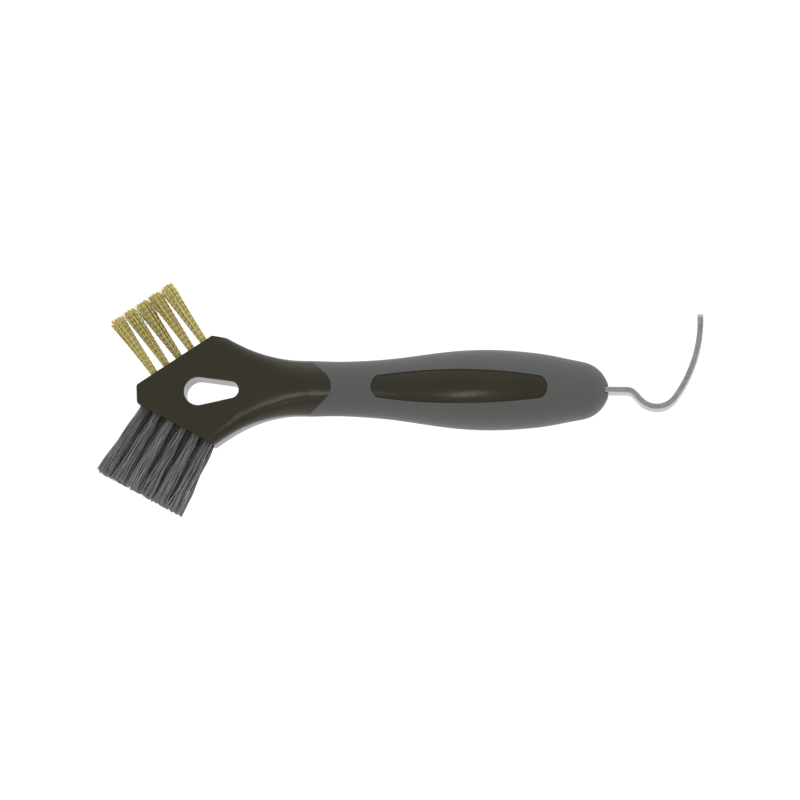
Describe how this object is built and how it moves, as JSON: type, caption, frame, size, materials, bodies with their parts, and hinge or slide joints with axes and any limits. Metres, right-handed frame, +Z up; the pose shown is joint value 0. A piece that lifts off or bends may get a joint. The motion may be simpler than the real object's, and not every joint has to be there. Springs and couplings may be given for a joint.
{
  "type": "hoof pick",
  "caption": "Hoof pick with a soft oval grip, a bent flat steel pick at one end and a flat forked head with a brass wire brush, a nylon brush and a drop-shaped hang hole at the other.",
  "frame": {"origin": "on the surface the tool lies on, under the middle of its footprint, lying on its back", "axes": "+X along the handle from the brush head to the pick, +Y towards the brass brush, +Z up, out of the front"},
  "size_m": [0.2302, 0.0896, 0.0232],
  "materials": {
    "core_plastic": "dark olive, fine satin moulding",
    "grip_rubber": "mid grey, matt soft-touch",
    "pick_steel": "tumbled zinc-plated strip, slightly mottled",
    "brass_wire": "crimped brass wire",
    "nylon_fibre": "dark grey wavy nylon",
    "anchor_wire": "plain flat wire"
  },
  "bodies": {
    "root": {"brass_tuft_anchors": "anchor_wire", "brass_tuft_back_1": "brass_wire", "brass_tuft_back_2": "brass_wire", "brass_tuft_back_3": "brass_wire", "brass_tuft_back_4": "brass_wire", "brass_tuft_back_5": "brass_wire", "brass_tuft_front_1": "brass_wire", "brass_tuft_front_2": "brass_wire", "brass_tuft_front_3": "brass_wire", "brass_tuft_front_4": "brass_wire", "brass_tuft_front_5": "brass_wire", "brass_tuft_middle_1": "brass_wire", "brass_tuft_middle_2": "brass_wire", "brass_tuft_middle_3": "brass_wire", "brass_tuft_middle_4": "brass_wire", "brass_tuft_middle_5": "brass_wire", "handle_core": "core_plastic", "nylon_tuft_anchors": "anchor_wire", "nylon_tuft_back_1": "nylon_fibre", "nylon_tuft_back_2": "nylon_fibre", "nylon_tuft_back_3": "nylon_fibre", "nylon_tuft_back_4": "nylon_fibre", "nylon_tuft_back_5": "nylon_fibre", "nylon_tuft_back_6": "nylon_fibre", "nylon_tuft_front_1": "nylon_fibre", "nylon_tuft_front_2": "nylon_fibre", "nylon_tuft_front_3": "nylon_fibre", "nylon_tuft_front_4": "nylon_fibre", "nylon_tuft_front_5": "nylon_fibre", "nylon_tuft_front_6": "nylon_fibre", "nylon_tuft_middle_1": "nylon_fibre", "nylon_tuft_middle_2": "nylon_fibre", "nylon_tuft_middle_3": "nylon_fibre", "nylon_tuft_middle_4": "nylon_fibre", "nylon_tuft_middle_5": "nylon_fibre", "soft_grip": "grip_rubber", "steel_pick": "pick_steel"}
  },
  "joints": []
}
